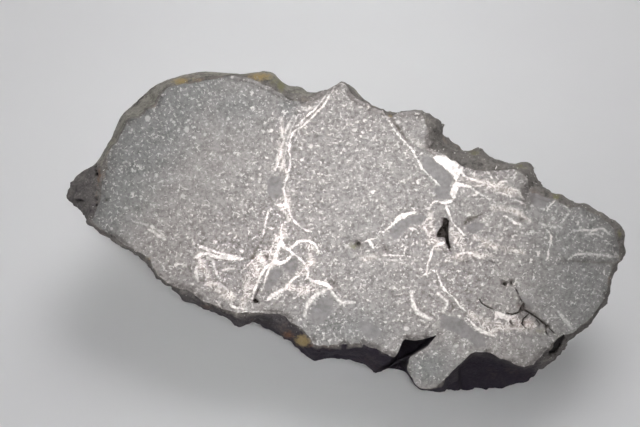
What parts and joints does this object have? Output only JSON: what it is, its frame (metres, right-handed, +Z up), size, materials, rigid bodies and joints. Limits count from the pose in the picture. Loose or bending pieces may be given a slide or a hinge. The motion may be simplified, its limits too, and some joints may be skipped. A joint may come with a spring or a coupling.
{
  "type": "chondrite meteorite",
  "caption": "Irregular stony meteorite, sawn and polished on one side to show metal grains and veins, lying on its rough back with the sawn face tilted up.",
  "frame": {"origin": "middle of the small flat spot under the stone, at the level of the surface that it rests on", "axes": "+Z up, +X along the stone towards its blunt end, and the sawn face looks up and towards -Y, 27 degrees off level"},
  "size_m": [0.2221, 0.1278, 0.0829],
  "materials": {
    "chondrite": "sawn and polished on the face, with bright metal grains and veins; rough, dark and partly crusted on the other sides"
  },
  "bodies": {
    "root": {"meteorite": "chondrite"}
  },
  "joints": []
}
